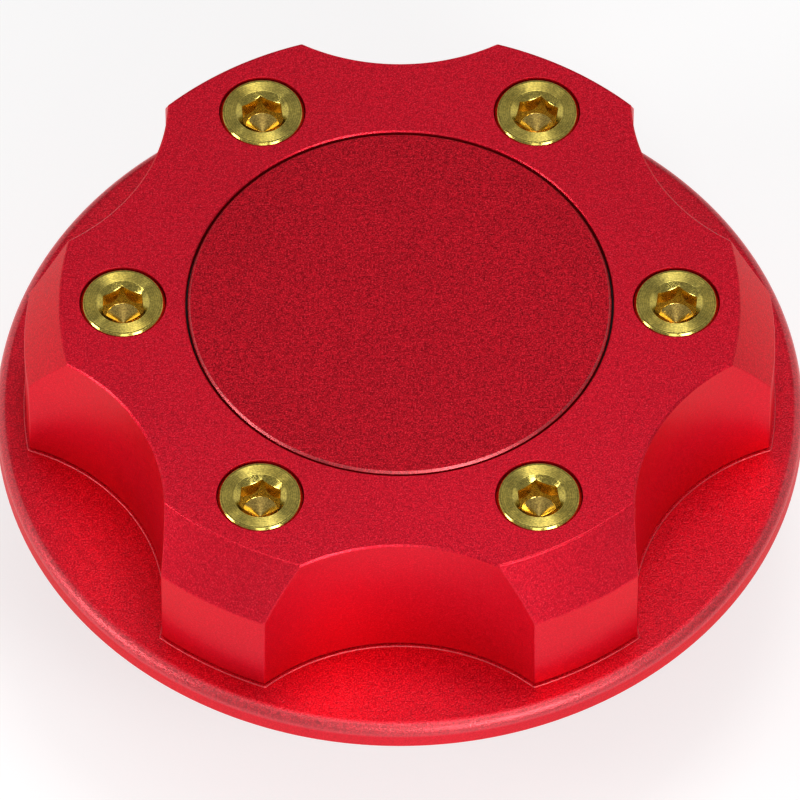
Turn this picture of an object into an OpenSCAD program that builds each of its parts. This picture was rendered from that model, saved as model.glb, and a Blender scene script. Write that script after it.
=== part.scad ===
// Screw-in filler cap for a motorcycle fuel tank.
// A six-lobed grip knob is bolted to a round flanged base by six socket screws.
// The base turns on a hub and drives it through a one-way click ratchet. The hub
// is screwed to a threaded neck plug, which holds the tank vent: a pressure
// valve, a vacuum valve and a roll-over ball. All lengths are in millimetres. Z is the cap's axis, +Z up,
// and z = 0 is the plane where the neck gasket meets the filler neck.

/* [Knob] */
// Height from the underside of the rim to the flat top
cap_h = 19.85; // [19.5:0.05:21]
// Radius of the flat top, at the upper edge of the lobe bevel
top_r = 34.42; // [34:0.02:35]
// Radius of the upright faces of the lobes
lobe_r = 38.1; // [37.9:0.1:38.4]
// Height of the bevel between the flat top and the upright faces
bevel_h = 6.44; // [5:0.02:7]
// Distance from the axis to the centre of each finger scallop
scallop_c = 51.2; // [51:0.1:52]
// Radius of each finger scallop
scallop_r = 20.7; // [20:0.1:20.9]
// Number of lobes, scallops and screws
lobes = 6; // [6]

/* [Screws] */
// Radius of the circle that the screws sit on
screw_pcr = 28; // [27.6:0.1:28.4]
// Diameter of the socket screw head
head_d = 8.5; // [8.2:0.1:8.6]
// Diameter of the counterbore round the head
cbore_d = 8.9; // [8.8:0.1:9.2]
// Width across the flats of the hexagon socket
hex_af = 4; // [3.5:0.1:4]
// Nominal thread diameter
screw_d = 5; // [4:0.5:5]
// Length under the head
screw_l = 10; // [8:1:10]

/* [Centre disc] */
// Radius of the flush disc in the top
disc_r = 21.4; // [20.5:0.1:21.5]
// Radial gap round the disc
disc_gap = 0.3; // [0.2:0.05:0.4]
// Thickness of the disc
disc_t = 2.6; // [2.4:0.1:3]

/* [Base flange] */
// Outer radius of the rim
rim_r = 41.15; // [40.6:0.05:42]
// Radius of the rim's rounded upper edge
rim_round = 1.3; // [0.6:0.1:1.6]
// Depth of the flange's upper face below the flat top
flange_drop = 17.1; // [16.8:0.1:17.4]
// Height of the rim's underside above the sealing plane
seal_drop = 0.65; // [0.4:0.05:1]

/* [Neck plug] */
// Radius of the plain guide below the gasket
pilot_r = 22; // [21.6:0.1:22]
// Length of the plain guide below the sealing plane
pilot_l = 3.5; // [3:0.5:4]
// Outer radius of the thread
thread_r = 21.6; // [21.2:0.1:21.8]
// Radius of the plug's wall under the thread
core_r = 19.6; // [19.4:0.1:19.8]
// Pitch of the neck thread
pitch = 5; // [4.5:0.5:5]
// Turns of the neck thread
turns = 2.4; // [1.5:0.1:2.4]
// Depth of the plug below the sealing plane
plug_depth = 21; // [20.5:0.5:24]

/* [Ratchet] */
// Number of ratchet teeth, a multiple of 12
teeth = 24; // [12:12:24]
// Number of spring pawls
pawls = 3; // [3]

/* [Hidden] */
$fn = 96;
e = 0.01;

rim_z = seal_drop;                    // underside of the rim
top_z = rim_z + cap_h;                // flat top of the knob
flange_z = top_z - flange_drop;       // upper face of the flange
pad_h = 0.2;                          // raised pad under the knob's foot
pad_out = 0.25;                       // how far the pad shows past the knob
foot_gap = 0.1;                       // seam between the pad and the knob's foot
foot_z = flange_z + pad_h + foot_gap; // lower edge of the knob
hub_z = 12;                           // top of the hub, where the knob is clamped
pocket_r = 35.6;                      // reach of the knob's pocket into a lobe
wall = 2.5;                           // knob wall behind a scallop
hub_clear = 0.1;                      // hub to knob, each side
cbore_h = 5.1;                        // head 5.0 high, set 0.1 below the top
head_h = 5;
seat_z = top_z - cbore_h;             // under the screw heads
recess_r = disc_r + disc_gap;
cord_d = 1;                           // section of the disc's ring

stem_r = 15;                          // plug stem that the base turns on
stem_clear = 0.07;
lip_z0 = 8.8;
lip_z1 = 10.4;
groove_r = 21.4;                      // groove that holds the gasket
plug_flange_r = 26.4;
plug_flange_z0 = 2;
plug_flange_z1 = 4.4;
ring_r = 23;                          // outside of the ratchet ring
ring_z0 = 4.9;
ring_z1 = 8.6;
tooth_root = 21.2;
tooth_tip = 19.7;

function rot(p, a) = [p[0] * cos(a) - p[1] * sin(a), p[0] * sin(a) + p[1] * cos(a)];
function polar(r, a) = [r * cos(a), r * sin(a)];

module around(n, a0 = 0) { for (k = [0 : n - 1]) rotate([0, 0, a0 + k * 360 / n]) children(); }

// The six finger scallops as upright cylinders of radius r
module scallops(r, z0, h) {
    around(lobes, 180 / lobes) translate([scallop_c, 0, z0]) cylinder(r = r, h = h, $fn = 180);
}

// A round plate with the six scallops cut out of it
module lobed(r, cut_r, z0, h) {
    difference() {
        translate([0, 0, z0]) cylinder(r = r, h = h, $fn = 180);
        scallops(cut_r, z0 - 1, h + 2);
    }
}

// A flat ring
module ring(ro, ri, z0, h) {
    difference() {
        translate([0, 0, z0]) cylinder(r = ro, h = h);
        translate([0, 0, z0 - 1]) cylinder(r = ri, h = h + 2);
    }
}

// A wedge from angle a0 to a1, for cutting part of a ring
module wedge(a0, a1, r, z0, h) {
    n = max(2, ceil((a1 - a0) / 30));
    translate([0, 0, z0]) linear_extrude(h)
        polygon(concat([[0, 0]], [for (i = [0 : n]) polar(r, a0 + (a1 - a0) * i / n)]));
}

// ---------------------------------------------------------------- knob
module grip_knob() {
    color([0.78, 0.03, 0.09])
    difference() {
        // turned blank: upright faces, bevel and flat top
        rotate_extrude($fn = 180) polygon([[0, foot_z], [lobe_r, foot_z], [lobe_r, top_z - bevel_h],
                                           [top_r, top_z], [0, top_z]]);
        scallops(scallop_r, foot_z - 1, 30);
        // pocket for the base's hub
        difference() {
            translate([0, 0, foot_z - 1]) cylinder(r = pocket_r, h = hub_z - foot_z + 1, $fn = 180);
            scallops(scallop_r + wall, foot_z - 2, 30);
        }
        // room over the plug's stem and clip
        translate([0, 0, hub_z - 1]) cylinder(r = 19, h = 1 + 2.4);
        // recess for the centre disc, with a hole to push the disc out
        translate([0, 0, top_z - disc_t]) cylinder(r = recess_r, h = disc_t + 1, $fn = 180);
        translate([0, 0, hub_z]) cylinder(r = 2, h = 10, $fn = 48);
        // screw holes with flat counterbores
        around(lobes) translate([screw_pcr, 0, 0]) {
            translate([0, 0, seat_z]) cylinder(d = cbore_d, h = cbore_h + 1, $fn = 64);
            translate([0, 0, hub_z - 2]) cylinder(d = screw_d + 0.5, h = 12, $fn = 48);
        }
    }
}

module center_disc() {
    color([0.66, 0.03, 0.08])
    difference() {
        translate([0, 0, top_z - disc_t]) cylinder(r = disc_r, h = disc_t, $fn = 180);
        // groove for the ring
        translate([0, 0, top_z - disc_t / 2 - 0.55]) difference() {
            cylinder(r = disc_r + 1, h = 1.1);
            translate([0, 0, -1]) cylinder(r = recess_r - cord_d, h = 4);
        }
    }
}

module disc_oring() {
    color([0.05, 0.05, 0.05])
    rotate_extrude($fn = 120) translate([recess_r - cord_d / 2, top_z - disc_t / 2]) circle(d = cord_d - 0.02, $fn = 32);
}

// One socket screw standing at the origin, head seat at z = 0
module socket_screw() {
    difference() {
        union() {
            rotate_extrude($fn = 72) polygon([[0, 0], [head_d / 2 - 0.15, 0], [head_d / 2, 0.15],
                [head_d / 2, head_h - 0.35], [head_d / 2 - 0.35, head_h], [0, head_h]]);
            rotate_extrude($fn = 48) polygon([[0, 1], [screw_d / 2 - 0.03, 1], [screw_d / 2 - 0.03, 0.6 - screw_l],
                [screw_d / 2 - 0.63, -screw_l], [0, -screw_l]]);
        }
        // hexagon socket with a drilled cone at its floor and a wide bevel at its mouth
        translate([0, 0, head_h - 2.5]) rotate([0, 0, 30]) cylinder(d = hex_af / cos(30), h = 4, $fn = 6);
        translate([0, 0, head_h - 3.5]) cylinder(r1 = 0.15, r2 = 1.95, h = 1.1, $fn = 48);
        translate([0, 0, head_h - 0.65]) cylinder(r1 = 1.72, r2 = 4.0, h = 1.63, $fn = 48);
    }
}

module cap_screws() {
    color([0.83, 0.72, 0.30])
    around(lobes) translate([screw_pcr, 0, seat_z]) socket_screw();
}

// ---------------------------------------------------------------- base
module base_flange() {
    color([0.78, 0.03, 0.09])
    difference() {
        union() {
            // round skirt with its rounded rim
            rotate_extrude($fn = 180) polygon(concat(
                [[0, rim_z], [rim_r - 0.3, rim_z], [rim_r, rim_z + 0.3]],
                [for (a = [0 : 15 : 90]) [rim_r - rim_round + rim_round * cos(a), flange_z - rim_round + rim_round * sin(a)]],
                [[0, flange_z]]));
            // thin pad that the knob's foot stands over
            lobed(lobe_r + pad_out, scallop_r - pad_out, flange_z - 1, pad_h + 1);
            // hub inside the knob's pocket
            lobed(pocket_r - hub_clear, scallop_r + wall + hub_clear, flange_z - 1, hub_z - flange_z + 1);
        }
        // seat for the plug's flange and the gasket
        translate([0, 0, rim_z - 1]) cylinder(r = plug_flange_r + 0.2, h = 4.6 - rim_z + 1);
        // seat for the ratchet ring, with three key slots
        translate([0, 0, 4]) cylinder(r = ring_r + 0.02, h = lip_z0 - 4);
        around(3, 30) translate([ring_r - 2, -2.1, 4.3]) cube([3.7, 4.2, lip_z0 - 4.4]);
        // bearing bore on the plug's stem
        cylinder(r = stem_r + stem_clear, h = 20);
        // counterbore for the washers and the clip
        translate([0, 0, lip_z1]) cylinder(r = 20, h = 5);
        // vent grooves across the top of the hub
        around(3, 30) translate([19, -1, hub_z - 0.8]) cube([20, 2, 2]);
        // tapped screw holes
        around(lobes) translate([screw_pcr, 0, hub_z - 6.8]) cylinder(d = screw_d, h = 12, $fn = 48);
    }
}

// ---------------------------------------------------------------- ratchet
step = 360 / teeth;

module ratchet_ring() {
    color([0.35, 0.36, 0.38])
    difference() {
        union() {
            translate([0, 0, ring_z0]) cylinder(r = ring_r, h = ring_z1 - ring_z0);
            around(3, 30) translate([ring_r - 1, -2, ring_z0]) cube([2.5, 4, ring_z1 - ring_z0]);
        }
        translate([0, 0, ring_z0 - 1]) linear_extrude(ring_z1 - ring_z0 + 2)
            polygon([for (k = [0 : teeth - 1], s = [0, 1]) polar(s == 0 ? tooth_tip : tooth_root, k * step)]);
    }
}

// One spring arm; its tip rests in the tooth gap that starts at angle 0
module pawl_arm(z0, h) {
    translate([0, 0, z0]) linear_extrude(h) polygon(concat(
        [polar(17.8, 0.7), polar(20.95, 0.75), polar(20.5, 4.6), polar(19.2, 9)],
        [for (a = [12 : 4 : 76]) polar(19.2, a)],
        [polar(16, 76), polar(16, 64)],
        [for (a = [62 : -4 : 6]) polar(17.8, a)]));
}

module pawl_ring() {
    color([0.92, 0.91, 0.86])
    union() {
        ring(16.9, stem_r + 0.04, ring_z0 + 0.1, ring_z1 - ring_z0 - 0.3);
        around(pawls) pawl_arm(ring_z0 + 0.1, ring_z1 - ring_z0 - 0.3);
        // two dog tabs into the plug's flange
        around(2, 45) translate([stem_r + 0.3, -1.5, plug_flange_z1 - 1]) cube([1.2, 3, 2.5]);
    }
}

// Spring washer with three waves
module wave_washer() {
    n = 72; t = 0.4; amp = 0.14; z0 = lip_z1 + 0.01 + t / 2 + amp;
    pts = [for (i = [0 : n - 1]) let (a = i * 360 / n, z = z0 + amp * sin(3 * a))
        each [[15.4 * cos(a), 15.4 * sin(a), z - t / 2], [18.6 * cos(a), 18.6 * sin(a), z - t / 2],
              [18.6 * cos(a), 18.6 * sin(a), z + t / 2], [15.4 * cos(a), 15.4 * sin(a), z + t / 2]]];
    color([0.7, 0.71, 0.73])
    polyhedron(points = pts, faces = [for (i = [0 : n - 1], j = [0 : 3]) let (k = (i + 1) % n, m = (j + 1) % 4)
        each [[4 * i + j, 4 * i + m, 4 * k + m], [4 * i + j, 4 * k + m, 4 * k + j]]]);
}

washer_z = lip_z1 + 0.01 + 0.4 + 0.28 + 0.01;

module thrust_washer() {
    color([0.72, 0.55, 0.30])
    ring(18.8, stem_r + 0.1, washer_z, 0.5);
}

clip_z = washer_z + 0.5 + 0.01;

module retaining_clip() {
    color([0.25, 0.26, 0.28])
    difference() {
        union() {
            ring(16.9, stem_r - 0.9, clip_z, 1);
            for (s = [-1, 1]) rotate([0, 0, 270 + s * 12]) translate([16.4, 0, clip_z]) cylinder(r = 1.7, h = 1, $fn = 32);
        }
        wedge(270 - 6, 270 + 6, 30, clip_z - 1, 3);
        for (s = [-1, 1]) rotate([0, 0, 270 + s * 12]) translate([16.5, 0, clip_z - 1]) cylinder(r = 0.7, h = 3, $fn = 24);
    }
}

// ---------------------------------------------------------------- neck plug
// External thread swept down from z_top; the section fades in and out at its ends
module neck_thread(z_top, n_turns) {
    da = 10;
    n = floor(n_turns * 360 / da);
    wb = 3.3; wc = 1.5; rin = core_r - 0.5;
    fade = 4;
    function rise(i) = min(1, min(i, n - i) / fade);
    pts = [for (i = [0 : n]) let (a = -i * da, z = z_top - pitch * i * da / 360, f = rise(i),
                                  rc = core_r - 0.2 + (thread_r - core_r + 0.2) * f)
        each [[rin * cos(a), rin * sin(a), z + wb / 2], [rc * cos(a), rc * sin(a), z + wc / 2],
              [rc * cos(a), rc * sin(a), z - wc / 2], [rin * cos(a), rin * sin(a), z - wb / 2]]];
    polyhedron(points = pts, convexity = 6, faces = concat(
        [[3, 2, 1], [3, 1, 0]],
        [for (i = [0 : n - 1], j = [0 : 3]) let (m = (j + 1) % 4, p = 4 * i, q = 4 * (i + 1))
            each [[p + j, p + m, q + m], [p + j, q + m, q + j]]],
        [[4 * n, 4 * n + 1, 4 * n + 2], [4 * n, 4 * n + 2, 4 * n + 3]]));
}

bore_r = 10;         // socket for the valve body
column_r = 13;       // column round that socket
column_z = -14;      // lower end of the column
shelf_z = -3;        // roof of the open ring between column and wall
spigot_r = 16;       // hub's spigot in the plug's mouth
spigot_z = -0.5;
hub_screw_pcr = 19.2;

// Turned hub with the stem that the base turns on
module drive_hub() {
    color([0.75, 0.76, 0.78])
    difference() {
        rotate_extrude($fn = 144) polygon([[0, spigot_z + 0.01], [spigot_r, spigot_z + 0.01], [spigot_r, plug_flange_z0],
            [plug_flange_r, plug_flange_z0], [plug_flange_r, plug_flange_z1],
            [stem_r, plug_flange_z1], [stem_r, 13.2], [stem_r - 0.5, 13.7], [0, 13.7]]);
        // groove for the clip
        ring(stem_r + 2, stem_r - 0.95, clip_z - 0.03, 1.06);
        // seat for the vent filter
        translate([0, 0, 9.9]) cylinder(r = 11.5, h = 5);
        // air way down to the valve
        translate([0, 0, 1]) cylinder(r = 3, h = 12, $fn = 48);
        translate([0, 0, -5]) cylinder(r = bore_r, h = 10.2);
        // slots for the pawl ring's dog tabs
        around(2, 45) translate([stem_r - 1, -1.55, plug_flange_z1 - 1.05]) cube([2.9, 3.1, 2]);
        // countersunk screw holes
        around(4) translate([hub_screw_pcr, 0, 0]) {
            cylinder(r = 1.6, h = 10, $fn = 32);
            translate([0, 0, 3]) cylinder(r1 = 1.45, r2 = 3.45, h = 2, $fn = 48);
        }
    }
}

module hub_screws() {
    color([0.75, 0.76, 0.78])
    around(4) translate([hub_screw_pcr, 0, 0]) difference() {
        rotate_extrude($fn = 48) polygon([[0, -1.6], [1.1, -1.6], [1.47, -1.2], [1.47, 3.07], [2.7, 4.3], [0, 4.3]]);
        translate([0, 0, 3]) cylinder(d = 2 / cos(30), h = 4, $fn = 6);
    }
}

module filler_plug() {
    color([0.09, 0.09, 0.10])
    difference() {
        union() {
            // wall under the thread, guide and gasket groove
            rotate_extrude($fn = 144) polygon([[0, -plug_depth], [core_r - 1.2, -plug_depth], [core_r, 1.2 - plug_depth],
                [core_r, -pilot_l - 0.6], [core_r + 0.4, -pilot_l], [pilot_r, -pilot_l], [pilot_r, 0],
                [groove_r, 0], [groove_r, plug_flange_z0], [0, plug_flange_z0]]);
            neck_thread(-pilot_l - 2.3, turns);
        }
        // mouth for the hub's spigot, and the socket for the valve body
        translate([0, 0, spigot_z]) cylinder(r = spigot_r + 0.02, h = 5);
        translate([0, 0, -plug_depth - 1]) cylinder(r = bore_r, h = plug_depth + 5);
        // open ring between the column and the wall
        difference() {
            translate([0, 0, -plug_depth - 1]) cylinder(r = core_r - 2.6, h = plug_depth + 1 + shelf_z);
            translate([0, 0, column_z]) cylinder(r = column_r, h = 30);
        }
        // screw holes
        around(4) translate([hub_screw_pcr, 0, -2]) cylinder(r = 1.5, h = 5, $fn = 32);
    }
}

module neck_gasket() {
    color([0.04, 0.04, 0.04])
    rotate_extrude($fn = 144) polygon([[pilot_r + 0.02, 0], [26, 0], [26, plug_flange_z0],
        [groove_r + 0.02, plug_flange_z0], [groove_r + 0.02, 0.05], [pilot_r + 0.02, 0.05]]);
}

module vent_filter() {
    color([0.60, 0.45, 0.26])
    translate([0, 0, 9.9]) cylinder(r = 11.48, h = 2.6);
}

// ---------------------------------------------------------------- vent valve
part_z = -6;         // upper face of the partition, where the seal lies
ball_r = 3;
cage_z = -14.6;      // inner face of the cage

module valve_body() {
    color([0.80, 0.66, 0.32])
    difference() {
        union() {
            translate([0, 0, -15.5]) cylinder(r = bore_r - 0.02, h = 20.4);
            // shoulder against the plug's column
            translate([0, 0, -15.5]) cylinder(r = 12, h = 15.5 + column_z - 0.01);
        }
        // chamber for the pressure valve
        translate([0, 0, part_z]) cylinder(r = 7.5, h = 20);
        // chamber for the ball, with its conical seat
        translate([0, 0, -20]) cylinder(r = ball_r + 0.8, h = 20 - 10.39, $fn = 64);
        translate([0, 0, -10.4]) cylinder(r1 = ball_r + 0.8, r2 = ball_r - 0.8, h = 2.4, $fn = 64);
        // passage and the poppet's room
        translate([0, 0, -9]) cylinder(r = ball_r - 0.8, h = 9, $fn = 64);
        translate([0, 0, -7.5]) cylinder(r = 3, h = 9, $fn = 64);
        // groove for the ring seal
        ring(bore_r + 2, bore_r - 1.5, -2.4, 1.8);
    }
}

module valve_oring() {
    color([0.05, 0.05, 0.05])
    rotate_extrude($fn = 96) translate([bore_r - 0.75, -1.5]) circle(d = 1.48, $fn = 32);
}

seal_t = 0.8;
plate_z = part_z + seal_t;
plate_t = 1.4;

module valve_seal() {
    color([0.12, 0.10, 0.09])
    ring(6.2, 3.3, part_z, seal_t);
}

module pressure_valve() {
    color([0.75, 0.76, 0.78])
    difference() {
        union() {
            translate([0, 0, plate_z]) cylinder(r = 6.8, h = plate_t, $fn = 64);
            // collar that centres the spring
            translate([0, 0, plate_z]) cylinder(r = 3.9, h = plate_t + 1, $fn = 64);
        }
        translate([0, 0, plate_z - 1]) cylinder(r = 1.5, h = 10, $fn = 48);
        // seat for the small spring
        translate([0, 0, plate_z + plate_t]) cylinder(r = 3, h = 10, $fn = 48);
    }
}

// Round wire coiled from z0 to z1, with a closed turn at each end
module coil(rm, wire, z0, z1, n_turns, sides = 8, da = 15) {
    n = floor(n_turns * 360 / da);
    rise0 = wire * 1.02;
    function flat(i) = let (t = i * da / 360)
        t < 1 ? rise0 * t :
        t > n_turns - 1 ? (z1 - z0 - wire) - rise0 * (n_turns - t) :
        rise0 + (z1 - z0 - wire - 2 * rise0) * (t - 1) / (n_turns - 2);
    pts = [for (i = [0 : n]) let (a = i * da, z = z0 + wire / 2 + flat(i))
        each [for (j = [0 : sides - 1]) let (b = j * 360 / sides + 180 / sides, r = rm + wire / 2 * cos(b))
            [r * cos(a), r * sin(a), z + wire / 2 * sin(b)]]];
    polyhedron(points = pts, convexity = 10, faces = concat(
        [[for (j = [0 : sides - 1]) j]],
        [for (i = [0 : n - 1], j = [0 : sides - 1]) let (m = (j + 1) % sides, p = sides * i, q = sides * (i + 1))
            each [[p + j, q + m, p + m], [p + j, q + j, q + m]]],
        [[for (j = [sides - 1 : -1 : 0]) sides * n + j]]));
}

module pressure_spring() {
    color([0.68, 0.69, 0.71])
    coil(5.2, 0.7, plate_z + plate_t + 0.01, 2.4, 4.5);
}

module spring_retainer() {
    color([0.80, 0.66, 0.32])
    difference() {
        translate([0, 0, 2.41]) cylinder(r = 7.48, h = 2, $fn = 64);
        translate([0, 0, 2]) cylinder(r = 3.2, h = 4, $fn = 48);
        // key slot
        translate([-9, -0.8, 3.5]) cube([18, 1.6, 2]);
    }
}

cup_z = -0.9;

module vacuum_valve() {
    color([0.85, 0.84, 0.80])
    difference() {
        union() {
            translate([0, 0, plate_z - 0.8]) cylinder(r = 2.6, h = 0.8, $fn = 48);
            translate([0, 0, plate_z - 0.8]) cylinder(r = 0.9, h = cup_z + 0.9 - plate_z + 0.8, $fn = 32);
        }
        // groove for the cup
        ring(2, 0.7, cup_z - 0.01, 0.42);
    }
}

module vacuum_spring() {
    color([0.68, 0.69, 0.71])
    coil(1.75, 0.35, plate_z + plate_t + 0.01, cup_z - 0.01, 4.5, 8, 20);
}

module spring_cup() {
    color([0.25, 0.26, 0.28])
    difference() {
        translate([0, 0, cup_z]) cylinder(r = 2.4, h = 0.4, $fn = 48);
        translate([0, 0, cup_z - 1]) cylinder(r = 0.72, h = 3, $fn = 32);
        translate([0, -0.71, cup_z - 1]) cube([4, 1.42, 3]);
    }
}

module rollover_ball() {
    color([0.82, 0.83, 0.85])
    translate([0, 0, cage_z + ball_r + 0.01]) sphere(r = ball_r, $fn = 64);
}

module ball_cage() {
    color([0.09, 0.09, 0.10])
    difference() {
        union() {
            translate([0, 0, -16.6]) cylinder(r = 11, h = 1.09, $fn = 64);
            translate([0, 0, -16.6]) cylinder(r = ball_r + 0.78, h = 16.6 + cage_z, $fn = 64);
        }
        around(4, 45) translate([2.3, 0, -20]) cylinder(r = 0.9, h = 10, $fn = 32);
    }
}

grip_knob();
center_disc();
disc_oring();
cap_screws();
base_flange();
ratchet_ring();
pawl_ring();
wave_washer();
thrust_washer();
retaining_clip();
drive_hub();
hub_screws();
filler_plug();
neck_gasket();
vent_filter();
valve_body();
valve_oring();
valve_seal();
pressure_valve();
pressure_spring();
spring_retainer();
vacuum_valve();
vacuum_spring();
spring_cup();
rollover_ball();
ball_cage();
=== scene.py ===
"""Looks for the fuel tank filler cap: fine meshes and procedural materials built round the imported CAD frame."""

import math

import bmesh
import bpy
import numpy as np
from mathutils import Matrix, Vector
from mathutils.geometry import delaunay_2d_cdt


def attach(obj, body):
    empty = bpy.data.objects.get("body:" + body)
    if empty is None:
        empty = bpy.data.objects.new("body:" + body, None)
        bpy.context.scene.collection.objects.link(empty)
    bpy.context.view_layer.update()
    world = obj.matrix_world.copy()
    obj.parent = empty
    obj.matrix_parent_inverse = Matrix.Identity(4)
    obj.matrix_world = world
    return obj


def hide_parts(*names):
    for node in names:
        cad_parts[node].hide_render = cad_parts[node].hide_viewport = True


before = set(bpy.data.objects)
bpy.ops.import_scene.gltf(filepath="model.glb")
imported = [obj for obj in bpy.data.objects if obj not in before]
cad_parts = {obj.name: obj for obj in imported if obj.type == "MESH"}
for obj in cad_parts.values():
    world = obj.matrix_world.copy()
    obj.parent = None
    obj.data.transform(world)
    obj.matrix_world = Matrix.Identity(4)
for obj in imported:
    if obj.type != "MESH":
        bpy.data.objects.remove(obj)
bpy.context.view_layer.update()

MM = 0.001
TAU = 2 * math.pi

# The CAD's own dimensions, in millimetres, z = 0 at the gasket's underside
TOP = 20.5            # flat top
FOOT = 3.7            # lower edge of the knob
LOBE_R = 38.1         # upright faces of the lobes
TOP_R = 34.42         # lobe bevel's upper edge
BEVEL_Z = 14.06       # lobe bevel's lower edge
SCALLOP_C = 51.2      # scallop centres, from the axis
SCALLOP_R = 20.7
PCR = 28.0            # the screws' circle


# ------------------------------------------------------------------ mesh helpers
def circle(r, n, cx=0.0, cy=0.0, a0=0.0):
    return [(cx + r * math.cos(a0 + TAU * i / n), cy + r * math.sin(a0 + TAU * i / n)) for i in range(n)]


def arc(cr, cz, r, a0, a1, n):
    """(radius, z) points of an arc in the section, angles in degrees."""
    return [(cr + r * math.cos(math.radians(a0 + (a1 - a0) * i / n)),
             cz + r * math.sin(math.radians(a0 + (a1 - a0) * i / n))) for i in range(n + 1)]


def inside(points, loop):
    """Which of the points lie inside the closed loop."""
    p, q = np.asarray(points, float), np.asarray(loop, float)
    a, b = q, np.roll(q, -1, 0)
    hit = np.zeros(len(p), bool)
    for (x0, y0), (x1, y1) in zip(a, b):
        if y0 == y1:
            continue
        cross = (y0 > p[:, 1]) != (y1 > p[:, 1])
        x = (x1 - x0) * (p[:, 1] - y0) / (y1 - y0) + x0
        hit ^= cross & (p[:, 0] < x)
    return hit


class Shape:
    """Vertices and faces in millimetres."""

    def __init__(self):
        self.v, self.f = [], []

    def ring(self, pts, z):
        start = len(self.v)
        zs = z if hasattr(z, "__len__") else [z] * len(pts)
        self.v += [(x, y, h) for (x, y), h in zip(pts, zs)]
        return list(range(start, len(self.v)))

    def bridge(self, a, b):
        n = len(a)
        self.f += [(a[i], a[(i + 1) % n], b[(i + 1) % n], b[i]) for i in range(n)]

    def loft(self, rings, closed=False):
        for a, b in zip(rings, rings[1:] + (rings[:1] if closed else [])):
            if b is not a:
                self.bridge(a, b)

    def fan(self, a, z):
        pts = np.array([self.v[i][:2] for i in a])
        self.v.append((float(pts[:, 0].mean()), float(pts[:, 1].mean()), z))
        c = len(self.v) - 1
        self.f += [(a[i], a[(i + 1) % len(a)], c) for i in range(len(a))]

    def fill(self, outer, holes=()):
        """Fills the flat region between an outer loop and its holes."""
        loops = [list(outer)] + [list(h) for h in holes]
        ids = [i for loop in loops for i in loop]
        pts = [Vector(self.v[i][:2]) for i in ids]
        edges, k = [], 0
        for loop in loops:
            edges += [(k + i, k + (i + 1) % len(loop)) for i in range(len(loop))]
            k += len(loop)
        vs, _, fs, origin, _, _ = delaunay_2d_cdt(pts, edges, [], 0, 1e-7)
        mids = np.array([np.mean([vs[i][:] for i in f], 0) for f in fs])
        keep = inside(mids, [self.v[i][:2] for i in loops[0]])
        for loop in loops[1:]:
            keep &= ~inside(mids, [self.v[i][:2] for i in loop])
        for f, good in zip(fs, keep):
            if good:
                self.f.append(tuple(ids[origin[i][0]] for i in f))

    def revolve(self, section, n, a0=0.0):
        """A closed section turned about Z."""
        self.loft([self.ring(circle(r, n, a0=a0), z) for r, z in section], closed=True)

    def box(self, lo, hi, turn=0.0):
        k = len(self.v)
        c, s = math.cos(turn), math.sin(turn)
        for z in (lo[2], hi[2]):
            for x, y in ((lo[0], lo[1]), (hi[0], lo[1]), (hi[0], hi[1]), (lo[0], hi[1])):
                self.v.append((x * c - y * s, x * s + y * c, z))
        self.f += [(k, k + 1, k + 2, k + 3), (k + 4, k + 5, k + 6, k + 7)]
        self.f += [(k + i, k + (i + 1) % 4, k + 4 + (i + 1) % 4, k + 4 + i) for i in range(4)]

    def cylinder(self, r, z0, z1, cx, cy, n=48):
        a, b = self.ring(circle(r, n, cx, cy), z0), self.ring(circle(r, n, cx, cy), z1)
        self.bridge(a, b)
        self.fan(a, z0)
        self.fan(b, z1)

    def object(self, name):
        """A Blender object still in millimetres, with its faces turned outwards."""
        me = bpy.data.meshes.new(name)
        me.from_pydata(self.v, [], self.f)
        bm = bmesh.new()
        bm.from_mesh(me)
        bmesh.ops.recalc_face_normals(bm, faces=bm.faces)
        bm.to_mesh(me)
        bm.free()
        ob = bpy.data.objects.new(name, me)
        bpy.context.scene.collection.objects.link(ob)
        return ob


def cut(ob, shape, operation="DIFFERENCE"):
    """Boolean with another shape, applied at once."""
    tool = shape.object("tool")
    m = ob.modifiers.new("cut", "BOOLEAN")
    m.operation, m.solver, m.object = operation, "EXACT", tool
    bpy.context.view_layer.update()
    made = bpy.data.meshes.new_from_object(ob.evaluated_get(bpy.context.evaluated_depsgraph_get()))
    ob.modifiers.remove(m)
    ob.data = made
    bpy.data.objects.remove(tool)


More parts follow.
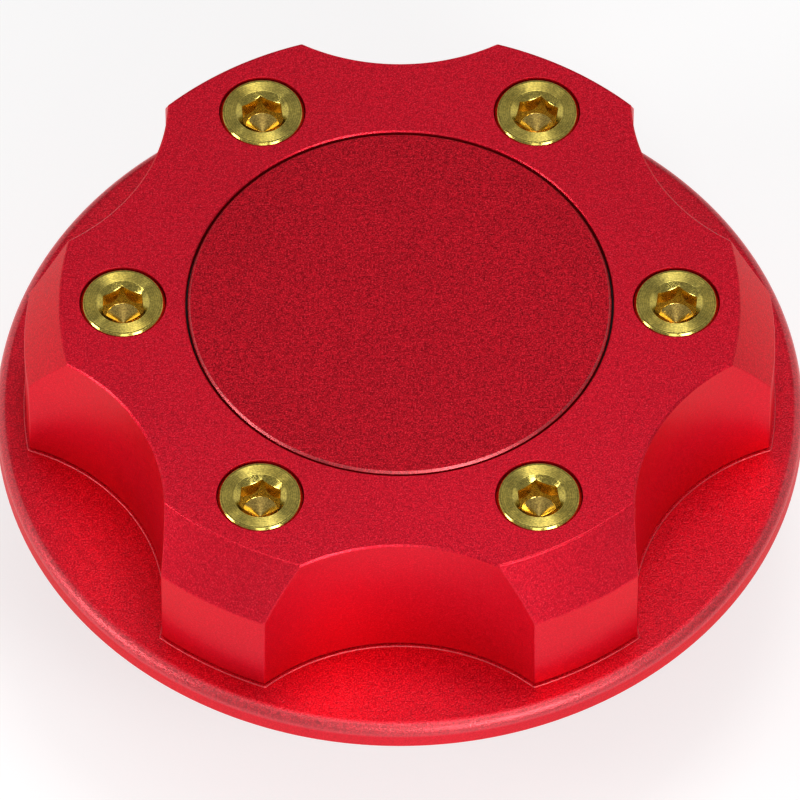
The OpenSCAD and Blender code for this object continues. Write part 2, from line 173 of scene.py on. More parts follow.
def smooth(me, limit=32.0):
    """Area-weighted corner normals: flat faces stay flat, rounded edges stay smooth, and sharp edges stay sharp."""
    me.shade_smooth()
    nl, nf = len(me.loops), len(me.polygons)
    lv, total = np.empty(nl, np.int64), np.empty(nf, np.int64)
    area, fn = np.empty(nf), np.empty(nf * 3)
    me.loops.foreach_get("vertex_index", lv)
    me.polygons.foreach_get("loop_total", total)
    me.polygons.foreach_get("area", area)
    me.polygons.foreach_get("normal", fn)
    fn = fn.reshape(-1, 3)
    fn /= np.maximum(np.linalg.norm(fn, axis=1), 1e-12)[:, None]
    level = np.abs(fn[:, 2]) > 0.999995
    weight = area * np.where(level, 1e4, 1.0)
    lp = np.repeat(np.arange(nf), total)
    order = np.argsort(lv, kind="stable")
    s = lv[order]
    counts = np.bincount(s, minlength=len(me.vertices))
    starts = np.cumsum(counts) - counts
    k = counts[s]
    i = np.repeat(np.arange(nl), k)
    j = np.repeat(starts[s], k) + np.arange(k.sum()) - np.repeat(np.cumsum(k) - k, k)
    fi, fj = lp[order[i]], lp[order[j]]
    close = np.einsum("ij,ij->i", fn[fi], fn[fj]) > math.cos(math.radians(limit))
    w = weight[fj] * close
    out = np.zeros((nl, 3))
    for axis in range(3):
        out[:, axis] = np.bincount(order[i], weights=w * fn[fj, axis], minlength=nl)
    out[level[lp]] = fn[lp[level[lp]]]
    size = np.linalg.norm(out, axis=1)
    out = np.where(size[:, None] > 1e-12, out / np.maximum(size, 1e-12)[:, None], fn[lp])
    me.normals_split_custom_set(out.tolist())


def finish_piece(ob, body, nodes, material, limit=32.0, local=None):
    """Scales the piece to metres, sets its normals, and puts it in the frame."""
    me = ob.data
    co = np.empty(len(me.vertices) * 3)
    me.vertices.foreach_get("co", co)
    if local is not None:
        a = me.attributes.new("axis_offset", "FLOAT_VECTOR", "POINT")
        a.data.foreach_set("vector", (np.asarray(local, float) * MM).astype(np.float32).ravel())
    me.vertices.foreach_set("co", (co * MM).astype(np.float32))
    me.update()
    smooth(me, limit)
    me.materials.clear()
    me.materials.append(material)
    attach(ob, body)
    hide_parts(*nodes)
    return ob


def lobed(R, rho, fr, nl=10, nf=4, ns=20):
    """The six-lobed outline: lobe arcs of radius R, scallop arcs of radius rho, corners rounded by fr."""
    c = SCALLOP_C
    al = math.acos((c * c + (R - fr) ** 2 - (rho + fr) ** 2) / (2 * c * (R - fr)))
    th = math.pi / 6 - al
    C = ((R - fr) * math.cos(th), (R - fr) * math.sin(th))
    S = (c * math.cos(math.pi / 6), c * math.sin(math.pi / 6))
    half = [(R * math.cos(th * i / nl), R * math.sin(th * i / nl)) for i in range(nl)]
    d1 = math.atan2(S[1] - C[1], S[0] - C[0])
    half += [(C[0] + fr * math.cos(d), C[1] + fr * math.sin(d)) for d in np.linspace(th, d1, nf + 1)]
    e0 = math.atan2(C[1] - S[1], C[0] - S[0])
    half += [(S[0] + rho * math.cos(e), S[1] + rho * math.sin(e)) for e in np.linspace(e0, -5 * math.pi / 6, ns + 1)[1:]]
    c60, s60 = 0.5, math.sqrt(3) / 2
    sector = half + [(x * c60 + y * s60, x * s60 - y * c60) for x, y in half[-2:0:-1]]
    out = []
    for k in range(6):
        ca, sa = math.cos(k * math.pi / 3), math.sin(k * math.pi / 3)
        out += [(x * ca - y * sa, x * sa + y * ca) for x, y in sector]
    return out


# ------------------------------------------------------------------ material helpers
def srgb(r, g, b):
    f = lambda c: c / 12.92 if c <= 0.04045 else ((c + 0.055) / 1.055) ** 2.4
    return (f(r / 255), f(g / 255), f(b / 255), 1.0)


class Nodes:
    """Short forms for building a node tree."""

    def __init__(self, name):
        self.mat = bpy.data.materials.new(name)
        self.mat.use_nodes = True
        self.t = self.mat.node_tree
        self.bsdf = self.t.nodes["Principled BSDF"]

    def node(self, kind, **props):
        n = self.t.nodes.new(kind)
        for key, value in props.items():
            setattr(n, key, value)
        return n

    def set(self, node, socket, value):
        if isinstance(value, bpy.types.NodeSocket):
            self.t.links.new(value, node.inputs[socket])
        else:
            node.inputs[socket].default_value = value
        return node

    def coords(self):
        return self.node("ShaderNodeTexCoord").outputs["Object"]

    def attribute(self, name):
        return self.node("ShaderNodeAttribute", attribute_name=name).outputs["Vector"]

    def math(self, op, a, b=0.0, c=None):
        n = self.node("ShaderNodeMath", operation=op)
        self.set(n, 0, a)
        self.set(n, 1, b)
        if c is not None:
            self.set(n, 2, c)
        return n.outputs[0]

    def vmath(self, op, a, b=None):
        n = self.node("ShaderNodeVectorMath", operation=op)
        self.set(n, 0, a)
        if b is not None:
            self.set(n, 1, b)
        return n.outputs["Value"] if op in ("LENGTH", "DOT_PRODUCT") else n.outputs["Vector"]

    def noise(self, vector, scale, detail=2.0, roughness=0.5, distortion=0.0):
        n = self.node("ShaderNodeTexNoise")
        self.set(n, "Vector", vector)
        for key, value in (("Scale", scale), ("Detail", detail), ("Roughness", roughness), ("Distortion", distortion)):
            self.set(n, key, value)
        return n.outputs["Fac"]

    def voronoi(self, vector, scale, feature="F1"):
        n = self.node("ShaderNodeTexVoronoi", feature=feature)
        self.set(n, "Vector", vector)
        self.set(n, "Scale", scale)
        return n

    def remap(self, value, a, b, c, d):
        n = self.node("ShaderNodeMapRange")
        self.set(n, "Value", value)
        for key, v in (("From Min", a), ("From Max", b), ("To Min", c), ("To Max", d)):
            self.set(n, key, v)
        return n.outputs["Result"]

    def scaled(self, colour, factor):
        """colour times a scalar."""
        n = self.node("ShaderNodeVectorMath", operation="SCALE")
        if isinstance(colour, bpy.types.NodeSocket):
            self.set(n, 0, colour)
        else:
            n.inputs[0].default_value = colour[:3]
        self.set(n, "Scale", factor)
        return n.outputs["Vector"]

    def mix(self, a, b, factor):
        n = self.node("ShaderNodeMix", data_type="RGBA")
        for index, value in ((6, a), (7, b), (0, factor)):
            if isinstance(value, bpy.types.NodeSocket):
                self.t.links.new(value, n.inputs[index])
            else:
                n.inputs[index].default_value = value
        return n.outputs[2]

    def bump(self, height, distance, strength=1.0, normal=None):
        n = self.node("ShaderNodeBump")
        self.set(n, "Height", height)
        self.set(n, "Distance", distance)
        self.set(n, "Strength", strength)
        if normal is not None:
            self.set(n, "Normal", normal)
        return n.outputs["Normal"]

    def principled(self, **values):
        for key, value in values.items():
            self.set(self.bsdf, key.replace("_", " "), value)
        return self.mat


def turning(n, vector, pitch, wobble=0.35):
    """Height of concentric tool marks about Z, for a vector from the turning axis."""
    flat = n.vmath("MULTIPLY", vector, (1.0, 1.0, 0.0))
    r = n.vmath("LENGTH", flat)
    z = n.node("ShaderNodeSeparateXYZ")
    n.set(z, 0, vector)
    along = n.math("ADD", r, n.math("MULTIPLY", z.outputs["Z"], 0.83))
    uneven = n.noise(vector, 900.0, 2.0)
    phase = n.math("ADD", n.math("MULTIPLY", along, TAU / pitch), n.math("MULTIPLY", uneven, TAU * wobble))
    return n.math("SINE", phase)


def anodised(name, base, metal, rough, grain, grain_colour, grain_bump, coat, coat_rough=0.24, drift=0.05, edge=0.0):
    """Dyed, bead-blasted aluminium: a dimpled grain with painted sparkle glints, and a thin clear oxide."""
    n = Nodes(name)
    co = n.coords()
    fine = n.noise(co, grain, 2.0, 0.7)
    coarse = n.noise(co, grain * 0.4, 2.0, 0.5)
    slow = n.noise(co, 45.0, 3.0, 0.5)
    both = n.math("ADD", n.math("MULTIPLY", fine, 0.72), n.math("MULTIPLY", coarse, 0.28))
    up = n.node("ShaderNodeSeparateXYZ")
    n.set(up, 0, n.node("ShaderNodeTexCoord").outputs["Normal"])
    upward_grain_and_glints = n.remap(up.outputs["Z"], 0.15, 0.80, 0.35, 1.0)        # grain tone and the painted sparkle glints are strongest on faces that point up, weaker on the cut walls
    grains = n.math("MULTIPLY", n.remap(both, 0.36, 0.64, -grain_colour, grain_colour), upward_grain_and_glints)
    shade = n.math("MULTIPLY", n.math("ADD", grains, 1.0), n.remap(slow, 0.3, 0.7, 1.0 - drift, 1.0 + drift))
    # painted highlight: a pale pink glint colour is mixed into the grain peaks, most on faces that point up
    painted_glints = n.math("MULTIPLY", n.math("POWER", n.remap(fine, 0.50, 0.72, 0.0, 1.0), 2.0), upward_grain_and_glints)
    glint_colour = (min(1.0, base[0] * 1.45), base[1] * 4 + 0.05, base[2] * 3 + 0.06, 1.0)
    colour = n.mix(n.scaled(base, shade), glint_colour, n.math("MULTIPLY", painted_glints, 0.60))
    bump = n.bump(both, grain_bump)
    n.principled(Base_Color=colour, Metallic=metal, Specular_IOR_Level=0.15, Specular_Tint=(0.85, 0.14, 0.22, 1.0),
                 Roughness=n.remap(coarse, 0.3, 0.7, rough - 0.05, rough + 0.05), Normal=bump,
                 Coat_Weight=coat, Coat_Roughness=coat_rough, Coat_IOR=1.5, Coat_Normal=bump)
    if edge:                                                         # turned edges are brighter than the blasted flats
        band = n.math("MULTIPLY", n.remap(up.outputs["Z"], 0.12, 0.38, 0.0, 1.0), n.remap(up.outputs["Z"], 0.92, 0.985, 1.0, 0.0))
        n.principled(Coat_IOR=1.75, Coat_Weight=n.remap(band, 0.0, 1.0, coat * 0.55, edge), Coat_Roughness=n.remap(band, 0.0, 1.0, coat_rough, 0.34))
    return n.mat


def gold_screw():
    """Zinc and yellow-chromate steel, turned: rings of tool marks, anisotropic gloss, and a painted brighter highlight
    colour deep in the hexagon socket.
    """
    n = Nodes("gold_screw")
    at = n.attribute("axis_offset")
    flat = n.vmath("MULTIPLY", at, (1.0, 1.0, 0.0))
    z = n.node("ShaderNodeSeparateXYZ")
    n.set(z, 0, at)
    across = n.vmath("NORMALIZE", n.vmath("ADD", flat, (1e-7, 0.0, 0.0)))     # the tool marks scatter light across themselves
    turn = n.node("ShaderNodeVectorTransform", vector_type="VECTOR", convert_from="OBJECT", convert_to="WORLD")
    n.set(turn, 0, across)
    marks = turning(n, at, 0.00021, 0.5)
    fine = n.noise(n.coords(), 5200.0, 2.0, 0.6)
    film = n.noise(n.coords(), 260.0, 3.0, 0.55)
    r = n.vmath("LENGTH", flat)
    face = n.math("MULTIPLY", n.remap(r, 0.00264, 0.00272, 0.0, 1.0), n.remap(r, 0.00380, 0.00390, 1.0, 0.0))   # the turned ring round the socket
    # painted highlight: the base colour turns brighter and warmer down in the hexagon socket
    socket_painted_highlight = n.remap(z.outputs["Z"], 0.0030, 0.0047, 1.0, 0.0)
    gold = n.mix((0.66, 0.535, 0.125, 1), (0.78, 0.60, 0.12, 1), n.remap(film, 0.3, 0.7, 0.0, 1.0))
    gold = n.mix(gold, (0.90, 0.60, 0.15, 1), socket_painted_highlight)
    shade = n.math("MULTIPLY", n.remap(marks, -1.0, 1.0, 0.86, 1.08), n.remap(fine, 0.3, 0.7, 0.62, 1.28))
    height = n.math("MULTIPLY", face, n.math("ADD", n.math("MULTIPLY", marks, 0.8), n.math("MULTIPLY", fine, 2.4)))
    scuffs = n.remap(fine, 0.3, 0.7, -0.03, 0.05)
    n.principled(Base_Color=n.scaled(gold, shade), Metallic=1.0,
                 Roughness=n.math("ADD", scuffs, n.remap(face, 0.0, 1.0, 0.14, 0.38)),
                 Anisotropic=n.math("MULTIPLY", face, 1.0), Tangent=turn.outputs[0],
                 Normal=n.bump(height, 0.0000035))
    return n.mat


def turned_metal(name, base, rough, pitch, drift=0.08, scratch=0.06):
    """Turned metal with concentric tool marks round the cap's axis."""
    n = Nodes(name)
    co = n.coords()
    marks = turning(n, co, pitch, 0.6)
    film = n.noise(co, 180.0, 4.0, 0.6)
    fine = n.noise(co, 6000.0, 2.0, 0.6)
    shade = n.math("MULTIPLY", n.remap(film, 0.3, 0.7, 1.0 - drift, 1.0 + drift), n.remap(marks, -1.0, 1.0, 1.0 - scratch, 1.0 + scratch))
    height = n.math("ADD", marks, fine)
    n.principled(Base_Color=n.scaled(base, shade), Metallic=1.0,
                 Roughness=n.remap(film, 0.3, 0.7, rough - 0.05, rough + 0.08), Normal=n.bump(height, 0.0000025))
    return n.mat


def moulded(name, base, rough, grain, depth, drift=0.12, sheen=0.0, specks=0.0, specular=0.5):
    """Plastic or rubber with a fine moulded or cut surface."""
    n = Nodes(name)
    co = n.coords()
    film = n.noise(co, 140.0, 4.0, 0.6)
    fine = n.noise(co, grain, 3.0, 0.6)
    shade = n.remap(film, 0.3, 0.7, 1.0 - drift, 1.0 + drift)
    colour = n.scaled(base, shade)
    if specks:
        dots = n.remap(n.noise(co, grain * 0.6, 1.0, 0.5), 0.66, 0.74, 0.0, specks)
        colour = n.mix(colour, (0.22, 0.22, 0.22, 1.0), dots)
    n.principled(Base_Color=colour, Roughness=n.remap(film, 0.3, 0.7, rough - 0.06, rough + 0.06),
                 Normal=n.bump(fine, depth), Sheen_Weight=sheen, Specular_IOR_Level=specular)
    return n.mat


def sintered(name, base):
    """Sintered bronze: fused beads, with painted shade darkening the pores between them."""
    n = Nodes(name)
    co = n.coords()
    cells = n.voronoi(co, 3200.0)
    edge = n.voronoi(co, 3200.0, "DISTANCE_TO_EDGE").outputs["Distance"]
    pore_and_painted_shade = n.remap(edge, 0.02, 0.14, 0.0, 1.0)
    tone = n.remap(n.noise(co, 400.0, 3.0), 0.3, 0.7, 0.8, 1.15)
    # painted shade: the pores between the beads are coloured near black
    colour = n.mix((0.05, 0.03, 0.015, 1.0), n.scaled(base, tone), pore_and_painted_shade)
    n.principled(Base_Color=colour, Metallic=0.9, Roughness=n.remap(pore_and_painted_shade, 0.0, 1.0, 0.8, 0.38),
                 Normal=n.bump(n.math("SUBTRACT", 1.0, cells.outputs["Distance"]), 0.00006))
    return n.mat


RED = anodised("red_anodised", (0.78, 0.0092, 0.0290, 1), 0.85, 0.42, 6200.0, 0.34, 0.000030, 0.24, 0.15)
FLANGE = anodised("red_flange", (0.76, 0.0080, 0.0270, 1), 0.85, 0.41, 5600.0, 0.38, 0.000060, 0.36, 0.20, edge=1.0)
DISC = anodised("red_disc", (0.625, 0.0080, 0.0215, 1), 0.85, 0.40, 6000.0, 0.60, 0.000036, 0.17, 0.15, edge=1.0)
GOLD = gold_screw()
NITRILE = moulded("nitrile", (0.012, 0.012, 0.013), 0.52, 3000.0, 0.000012, 0.15, 0.15)
SEAL = moulded("seal_rubber", (0.024, 0.020, 0.018), 0.60, 2200.0, 0.00002, 0.15, 0.2)
DARK_STEEL = turned_metal("dark_steel", (0.13, 0.135, 0.145), 0.36, 0.00023, 0.12)
ACETAL = moulded("acetal", (0.76, 0.745, 0.68), 0.36, 1500.0, 0.000008, 0.05)
SPRING = turned_metal("spring_steel", (0.50, 0.51, 0.53), 0.24, 0.00011, 0.06)
STAINLESS = turned_metal("stainless", (0.60, 0.60, 0.595), 0.22, 0.00016, 0.05)
BRONZE = sintered("bronze", (0.60, 0.42, 0.20))
BRASS = turned_metal("valve_brass", (0.80, 0.58, 0.24), 0.25, 0.00019, 0.07)
NYLON = moulded("black_nylon", (0.014, 0.014, 0.0155), 0.46, 1900.0, 0.000022, 0.2, 0.0, 0.25)
ALUMINIUM = turned_metal("plain_aluminium", (0.80, 0.80, 0.81), 0.28, 0.00022, 0.05)


# ------------------------------------------------------------------ grip knob
def grip_knob():
    s = Shape()
    slope = math.atan2(LOBE_R - TOP_R, TOP - BEVEL_Z)
    rf, rb, rt = 0.22, 0.7, 0.32          # rounding at the foot, at the bevel's lower edge and at the top
    zb = BEVEL_Z - rb * math.tan(slope / 2)
    ct = TOP_R - rt * math.tan((math.pi / 2 - slope) / 2)
    levels = [(FOOT + rf - rf * math.cos(b), LOBE_R - rf + rf * math.sin(b), SCALLOP_R + rf - rf * math.sin(b))
              for b in np.linspace(0, math.pi / 2, 5)]
    levels += [(z, LOBE_R, SCALLOP_R) for z in (6.0, 8.4, 10.8, 12.8)]
    levels += [(zb + rb * math.sin(a), LOBE_R - rb + rb * math.cos(a), SCALLOP_R) for a in np.linspace(0, slope, 7)]
    for z in (15.6, 17.2, 18.8, 19.8):
        levels.append((z, TOP_R + (TOP - z) * math.tan(slope), SCALLOP_R))
    for a in sorted([0.0, 0.17, 0.34, slope] + list(np.linspace(slope, math.pi / 2, 8)[1:])):
        z = TOP - rt + rt * math.sin(a)
        R = ct + rt * math.cos(a) if a >= slope else TOP_R + (TOP - z) * math.tan(slope)
        levels.append((z, R, SCALLOP_R + max(0.0, rt * math.sin(a) - (rt - 0.2))))
    rings = [s.ring(lobed(R, rho, 0.26), z) for z, R, rho in levels]
    s.loft(rings)
    # recess for the disc, with a small broken edge
    recess = [s.ring(circle(r, 216), z) for r, z in ((21.86, TOP), (21.84, TOP - 0.008), (21.712, TOP - 0.135), (21.7, TOP - 0.16))]
    recess.append(s.ring(circle(21.7, 216), 17.9))
    s.loft(recess)
    # counterbores and screw holes
    mouths, low_holes = [], []
    for k in range(6):
        cx, cy = PCR * math.cos(k * math.pi / 3), PCR * math.sin(k * math.pi / 3)
        bore = [s.ring(circle(r, 84, cx, cy), z) for r, z in arc(4.41 + 0.05, TOP - 0.05, 0.05, 90, 180, 2)]
        bore += [s.ring(circle(4.41, 84, cx, cy), 15.4), s.ring(circle(2.75, 84, cx, cy), 15.4), s.ring(circle(2.75, 84, cx, cy), 12.0)]
        s.loft(bore)
        mouths.append(bore[0])
        low_holes.append(bore[-1])
    s.fill(rings[-1], [recess[0]] + mouths)
    # centre hole, room over the stem, pocket
    hole = [s.ring(circle(2.0, 48), z) for z in (17.9, 14.4)]
    s.loft(hole)
    s.fill(recess[-1], [hole[0]])
    room = [s.ring(circle(19.0, 144), z) for z in (14.4, 12.0)]
    s.loft(room)
    s.fill(room[0], [hole[1]])
    pocket = [s.ring(lobed(35.6, 23.2, 0.3), z) for z in (12.0, FOOT + 0.15)]
    pocket.append(s.ring(lobed(35.75, 23.05, 0.3), FOOT))
    s.loft(pocket)
    s.fill(pocket[0], [room[1]] + low_holes)
    s.bridge(pocket[-1], rings[0])
    return finish_piece(s.object("grip_knob_shell"), "knob", ["grip_knob"], RED)


# ------------------------------------------------------------------ centre disc
def center_disc():
    s = Shape()
    n = 216
    section = [(21.19, TOP), (21.215, TOP - 0.010), (21.43, TOP - 0.21), (21.44, TOP - 0.24)]
    section += [(21.44, 19.75), (20.7, 19.75), (20.7, 18.65), (21.44, 18.65), (21.44, 18.05), (21.29, 17.9)]
    rings = [s.ring(circle(r, n), z) for r, z in section]
    s.loft(rings)
    inner = [rings[0]] + [s.ring(circle(r, n), TOP) for r in (14.0, 7.0, 2.0)]
    s.loft(inner)
    s.fan(inner[-1], TOP)
    under = [rings[-1]] + [s.ring(circle(r, n), 17.9) for r in (14.0, 7.0, 2.0)]
    s.loft(under)
    s.fan(under[-1], 17.9)
    return finish_piece(s.object("center_disc_plate"), "knob", ["center_disc"], DISC)


# ------------------------------------------------------------------ socket screws
def cap_screws():
    n = 60
    hex_r = lambda a: 2.0 / math.cos((a - math.pi / 6) % (math.pi / 3) - math.pi / 6)
    turns = [-7, -11, 5, 3, -4, 8]     # each screw stopped at its own angle, degrees
    s, local = Shape(), []
    for k in range(6):
        cx, cy, seat = PCR * math.cos(k * math.pi / 3), PCR * math.sin(k * math.pi / 3), 15.4
        turn = math.radians(turns[k])
        start = len(s.v)

        def ring(radius, z):
            pts, zs = [], []
            for i in range(n):
                a = TAU * i / n
                r = radius(a) if callable(radius) else radius
                pts.append((cx + r * math.cos(a + turn), cy + r * math.sin(a + turn)))
                zs.append(seat + (z(a) if callable(z) else z))
            return s.ring(pts, zs)

        rings = [ring(1.84, -10.0), ring(1.98, -9.9)]
        z = -9.8
        while z < -2.2:                 # M5 thread, crest at the CAD's radius
            fade = min(1.0, (z + 9.9) / 0.5, (-2.2 - z) / 0.6)
            chamfer = 0.5 * max(0.0, 1 - (z + 10.0) / 0.6)
            rings.append(ring(lambda a, z=z, f=fade, c=chamfer:
                              2.47 - c - (1.0 - c) * 0.40 * f * abs(2 * ((z / 0.8 - a / TAU) % 1.0) - 1) ** 0.8, z))
            z += 0.1
        rings += [ring(2.47, -2.1), ring(2.47, -0.12), ring(2.59, 0.0), ring(4.08, 0.0)]
        rings += [ring(r, h) for r, h in arc(4.33 - 0.15, 0.15, 0.15, -60, 0, 3)]
        rings += [ring(4.33, 1.6), ring(4.33, 3.2)]
        rings += [ring(r, h) for r, h in ((4.33, 4.73), (4.325, 4.76), (4.31, 4.785), (4.03, 5.07), (4.00, 5.08))]
        rings += [ring(3.5, 5.08), ring(3.05, 5.08)]
        rings += [ring(r, h) for r, h in arc(2.70, 5.08 - 0.06, 0.06, 90, 128, 2)]
        edge = lambda a: 4.35 + (hex_r(a) - 1.72) * 0.65 / 0.91
        rings += [ring(lambda a: hex_r(a) + 0.05, lambda a: edge(a) + 0.03), ring(hex_r, lambda a: edge(a) - 0.03)]
        rings += [ring(hex_r, 2.5), ring(1.80, 2.5), ring(1.74, 2.42), ring(0.15, 1.5)]
        s.loft(rings)
        s.fan(rings[0], seat - 10.0)
        s.fan(rings[-1], seat + 1.48)
        local += [(x - cx, y - cy, h - seat) for x, y, h in s.v[start:]]
    return finish_piece(s.object("cap_screws_turned"), "knob", ["cap_screws"], GOLD, local=local)


# ------------------------------------------------------------------ base flange
def base_flange():
    s = Shape()
    pad = [lobed(38.35 - d, 20.45 + d, 0.3) for d in (0.0, 0.0, 0.02, 0.06, 0.12)]
    pad_z = [3.4, 3.48, 3.53, 3.57, 3.6]
    angles = [math.atan2(y, x) for x, y in pad[0]]
    round_ring = lambda r, z: s.ring([(r * math.cos(a), r * math.sin(a)) for a in angles], z)
    rings = [round_ring(r, z) for r, z in arc(41.15 - 0.3, 0.95, 0.3, -90, 0, 5)]
    rings += [round_ring(41.15, 1.5)]
    rings += [round_ring(r, z) for r, z in arc(41.15 - 1.3, 3.4 - 1.3, 1.3, 0, 90, 14)]
    rings += [s.ring(p, z) for p, z in zip(pad, pad_z)]
    rings += [s.ring(lobed(35.5, 23.3, 0.3), 3.6), s.ring(lobed(35.5, 23.3, 0.3), 11.8), s.ring(lobed(35.3, 23.5, 0.3), 12.0)]
    s.loft(rings)
    inner = [s.ring(circle(r, 144), z) for r, z in
             ((26.75, 0.65), (26.6, 0.8), (26.6, 4.6), (23.02, 4.6), (23.02, 8.8), (15.07, 8.8), (15.07, 10.4), (20.0, 10.4), (20.0, 12.0))]
    s.loft(inner)
    s.fill(rings[0], [inner[0]])
    holes = []
    for k in range(6):
        cx, cy = PCR * math.cos(k * math.pi / 3), PCR * math.sin(k * math.pi / 3)
        hole = [s.ring(circle(r, 48, cx, cy), z) for r, z in ((2.75, 12.0), (2.5, 11.75), (2.5, 5.2))]
        s.loft(hole)
        s.fan(hole[-1], 5.2)
        holes.append(hole[0])
    s.fill(rings[-1], [inner[-1]] + holes)
    ob = s.object("base_flange_shell")
    slots = Shape()
    for k in range(3):
        a = math.radians(30 + 120 * k)
        slots.box((21.0, -2.1, 4.3), (24.7, 2.1, 8.7), a)
    cut(ob, slots)
    vents = Shape()
    for k in range(3):
        vents.box((19.0, -1.0, 11.2), (39.0, 1.0, 13.2), math.radians(30 + 120 * k))
    cut(ob, vents)
    return finish_piece(ob, "knob", ["base_flange"], FLANGE)


# ------------------------------------------------------------------ neck plug
def filler_plug():
    s = Shape()
    e = 0.18
    section = [(17.0, -21.0 + e), (17.0 + e, -21.0), (18.3, -21.0), (18.5, -20.93), (19.53, -19.87), (19.6, -19.7), (19.6, -4.1), (20.0, -3.5)]
    section += [(22.0 - 0.3, -3.5)] + arc(22.0 - 0.3, -3.2, 0.3, -60, 0, 3) + [(22.0, 0.0), (21.4, 0.0), (21.4, 2.0), (16.02, 2.0),
                (16.02, -0.5), (10.0, -0.5), (10.0, -14.0 + e), (10.0 + e, -14.0), (13.0 - e, -14.0), (13.0, -14.0 + e), (13.0, -3.0), (17.0, -3.0)]
    s.revolve(section, 180)
    ob = s.object("filler_plug_body")
    # neck thread, swept down the wall; its section fades at both ends
    t = Shape()
    da, z_top, pitch, count = 4, -5.8, 5.0, 216
    base, crest, rin = 3.3, 1.5, 19.1
    rows = []
    for i in range(count + 1):
        a, z = -math.radians(i * da), z_top - pitch * i * da / 360
        f = math.sin(min(1.0, i / 10, (count - i) / 10) * math.pi / 2)
        rc = 19.4 + 2.2 * f
        pts = [(rin, base / 2), (rc - 0.12 * f, crest / 2 + 0.06), (rc, crest / 2 - 0.14), (rc, -crest / 2 + 0.14), (rc - 0.12 * f, -crest / 2 - 0.06), (rin, -base / 2)]
        start = len(t.v)
        t.v += [(r * math.cos(a), r * math.sin(a), z + h) for r, h in pts]
        rows.append(list(range(start, start + 6)))
    t.loft(rows)
    t.f += [tuple(rows[0]), tuple(rows[-1])]
    cut(ob, t, "UNION")
    h = Shape()
    for k in range(4):
        h.cylinder(1.5, -2.0, 3.0, 19.2 * math.cos(k * math.pi / 2), 19.2 * math.sin(k * math.pi / 2), 36)
    cut(ob, h)
    return finish_piece(ob, "plug", ["filler_plug"], NYLON)


def neck_gasket():
    s = Shape()
    section = [(22.02, 0.0)] + arc(26.0 - 0.35, 0.35, 0.35, -90, 0, 5) + arc(26.0 - 0.35, 1.65, 0.35, 0, 90, 5)
    section += [(21.42, 2.0), (21.42, 0.05), (22.02, 0.05)]
    s.revolve(section, 216)
    return finish_piece(s.object("neck_gasket_ring"), "plug", ["neck_gasket"], NITRILE)


def valve_body():
    s = Shape()
    e = 0.15
    outer = [(12.0 - e, -15.5), (12.0, -15.5 + e), (12.0, -14.01 - e), (12.0 - e, -14.01), (9.98, -14.01), (9.98, -2.4), (8.5, -2.4), (8.5, -0.6),
             (9.98, -0.6), (9.98, 4.9 - e), (9.98 - e, 4.9), (7.5 + e, 4.9), (7.5, 4.9 - e), (7.5, -6.0), (3.0 + 0.1, -6.0), (3.0, -6.1), (3.0, -7.5), (2.2, -7.5),
             (2.2, -8.0), (3.8, -10.4), (3.8, -15.5 + e), (3.8 + e, -15.5)]
    s.revolve(outer, 144)
    return finish_piece(s.object("valve_body_turned"), "plug", ["valve_body"], BRASS)


def ball_cage():
    s = Shape()
    n = 96
    section = arc(11.0 - 0.25, -16.6 + 0.25, 0.25, -90, 0, 4) + [(11.0, -15.61), (10.9, -15.51), (3.78, -15.51), (3.78, -14.75), (3.63, -14.6)]
    rings = [s.ring(circle(r, n), z) for r, z in section]
    s.loft(rings)
    s.fan(rings[0], -16.6)
    s.fan(rings[-1], -14.6)
    ob = s.object("ball_cage_plug")
    h = Shape()
    for k in range(4):
        a = math.radians(45 + 90 * k)
        h.cylinder(0.9, -18.0, -13.0, 2.3 * math.cos(a), 2.3 * math.sin(a), 32)
    cut(ob, h)
    return finish_piece(ob, "plug", ["ball_cage"], NYLON)


grip_knob()
center_disc()
cap_screws()
base_flange()
filler_plug()
neck_gasket()
valve_body()
ball_cage()

# The other CAD nodes keep their shape and take a finish
FINISH = {
    "disc_oring": NITRILE, "ratchet_ring": DARK_STEEL, "pawl_ring": ACETAL, "wave_washer": SPRING, "thrust_washer": BRONZE,
    "retaining_clip": DARK_STEEL, "drive_hub": ALUMINIUM, "hub_screws": STAINLESS, "vent_filter": BRONZE, "valve_oring": NITRILE,
    "valve_seal": SEAL, "pressure_valve": STAINLESS, "pressure_spring": SPRING, "spring_retainer": BRASS, "vacuum_valve": ACETAL,
    "vacuum_spring": SPRING, "spring_cup": DARK_STEEL, "rollover_ball": STAINLESS,
}
for name, material in FINISH.items():
    for material_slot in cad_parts[name].material_slots:
        material_slot.material = material

# ------------------------------------------------------------------ floor, light and camera
floor_mesh = bpy.data.meshes.new("floor")
floor_mesh.from_pydata([(-6, -6, -0.02102), (6, -6, -0.02102), (6, 6, -0.02102), (-6, 6, -0.02102)], [], [(0, 1, 2, 3)])
floor = bpy.data.objects.new("floor", floor_mesh)
bpy.context.scene.collection.objects.link(floor)
fn = Nodes("pale_floor")
tone = fn.remap(fn.noise(fn.coords(), 3.0, 2.0), 0.3, 0.7, 0.49, 0.51)
away = fn.vmath("LENGTH", fn.vmath("MULTIPLY", fn.coords(), (1.0, 1.0, 0.0)))
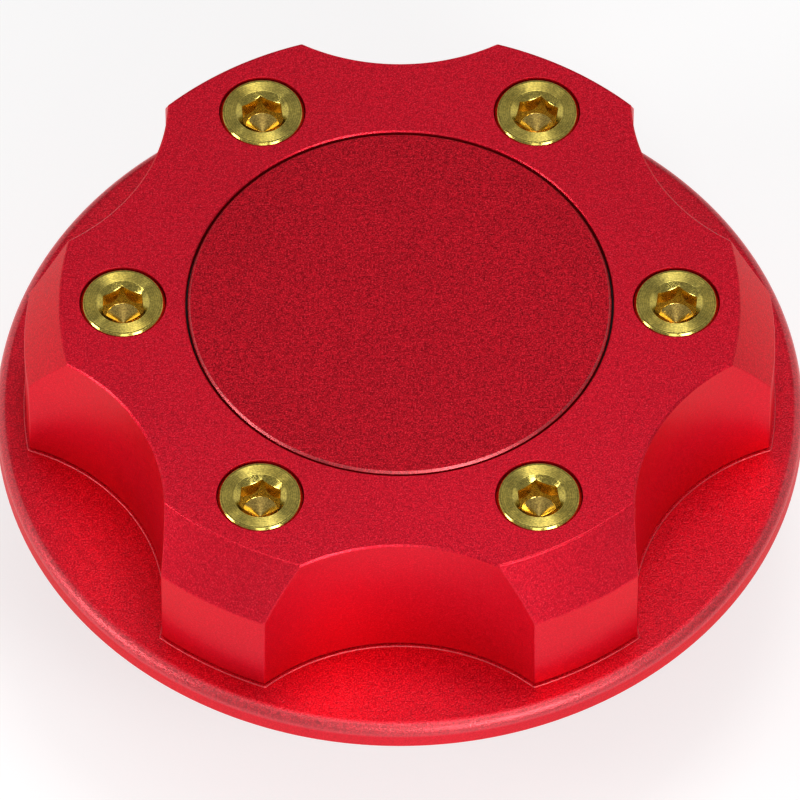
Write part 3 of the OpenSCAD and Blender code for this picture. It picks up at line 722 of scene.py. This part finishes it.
# painted light: the floor glows, strongest under the cap and fading outwards, which washes out the cap's shadow
painted_light_pool = fn.remap(away, 0.09, 0.30, 0.60, 0.15)
fn.principled(Base_Color=fn.scaled((1.0, 1.0, 1.0), tone), Roughness=0.9, Specular_IOR_Level=0.1,
              Emission_Color=(1, 1, 1, 1), Emission_Strength=painted_light_pool)
clear = fn.node("ShaderNodeBsdfTransparent")
back = fn.node("ShaderNodeNewGeometry").outputs["Backfacing"]
both_sides = fn.node("ShaderNodeMixShader")
fn.set(both_sides, 0, back)
fn.set(both_sides, 1, fn.bsdf.outputs[0])
fn.set(both_sides, 2, clear.outputs[0])
fn.set(fn.t.nodes["Material Output"], "Surface", both_sides.outputs[0])
floor_mesh.materials.append(fn.mat)

world = bpy.data.worlds.new("studio")
bpy.context.scene.world = world
world.use_nodes = True
wt = world.node_tree
direction = wt.nodes.new("ShaderNodeTexCoord").outputs["Generated"]


def lobe(towards, inner, outer, value):
    """A soft round patch of the studio: value inside, 0 outside."""
    d = wt.nodes.new("ShaderNodeVectorMath")
    d.operation = "DOT_PRODUCT"
    wt.links.new(direction, d.inputs[0])
    d.inputs[1].default_value = Vector(towards).normalized()
    m = wt.nodes.new("ShaderNodeMapRange")
    m.interpolation_type = "SMOOTHSTEP"
    wt.links.new(d.outputs["Value"], m.inputs["Value"])
    m.inputs["From Min"].default_value = math.cos(math.radians(outer))
    m.inputs["From Max"].default_value = math.cos(math.radians(inner))
    m.inputs["To Min"].default_value = 0.0
    m.inputs["To Max"].default_value = value
    return m.outputs["Result"]


def add(a, b):
    n = wt.nodes.new("ShaderNodeMath")
    n.operation = "ADD"
    wt.links.new(a, n.inputs[0])
    if isinstance(b, float):
        n.inputs[1].default_value = b
    else:
        wt.links.new(b, n.inputs[1])
    return n.outputs[0]


sky = add(lobe((0.0, 0.0, 1.0), 5, 32, 0.84), 0.255)          # overhead
sky = add(sky, lobe((-0.75, 0.60, 0.34), 5, 34, 0.52))       # from the left, behind
sky = add(sky, lobe((0.75, 0.60, 0.34), 5, 34, 0.44))        # from the right, behind
sky = add(sky, lobe((0.0, -1.0, 0.05), 8, 44, 0.50))         # wide and low, from the front
wt.links.new(sky, wt.nodes["Background"].inputs["Strength"])
wt.nodes["Background"].inputs["Color"].default_value = (1, 1, 1, 1)


def panel(name, towards, distance, size, radiance):
    """A square soft box that faces the cap."""
    light = bpy.data.lights.new(name, "AREA")
    light.shape, light.size = "SQUARE", size
    light.energy = radiance * math.pi * size * size
    ob = bpy.data.objects.new(name, light)
    d = Vector(towards).normalized()
    ob.location = d * distance
    ob.rotation_mode = "QUATERNION"
    ob.rotation_quaternion = d.to_track_quat("Z", "Y")
    ob.visible_camera = False
    bpy.context.scene.collection.objects.link(ob)
    return ob


panel("left_box", (-0.87, -0.27, 0.42), 0.36, 0.10, 8.5)
panel("front_box", (0.41, -0.71, 0.57), 0.30, 0.09, 10.0)
panel("fill_box", (-0.02, -0.80, 0.60), 0.32, 0.08, 2.2)
panel("top_box", (0.10, 0.10, 1.0), 0.50, 0.16, 4.6)

camera = bpy.data.objects.new("camera", bpy.data.cameras.new("camera"))
camera.data.lens = 811.4
camera.data.sensor_width = 36.0
camera.data.clip_start, camera.data.clip_end = 0.1, 40.0
camera.location = (0.00004, -1.0915, 1.4826)
camera.rotation_euler = (math.radians(36.431), 0.0, 0.0)
bpy.context.scene.collection.objects.link(camera)
bpy.context.scene.camera = camera
bpy.context.scene.view_settings.view_transform = "Standard"
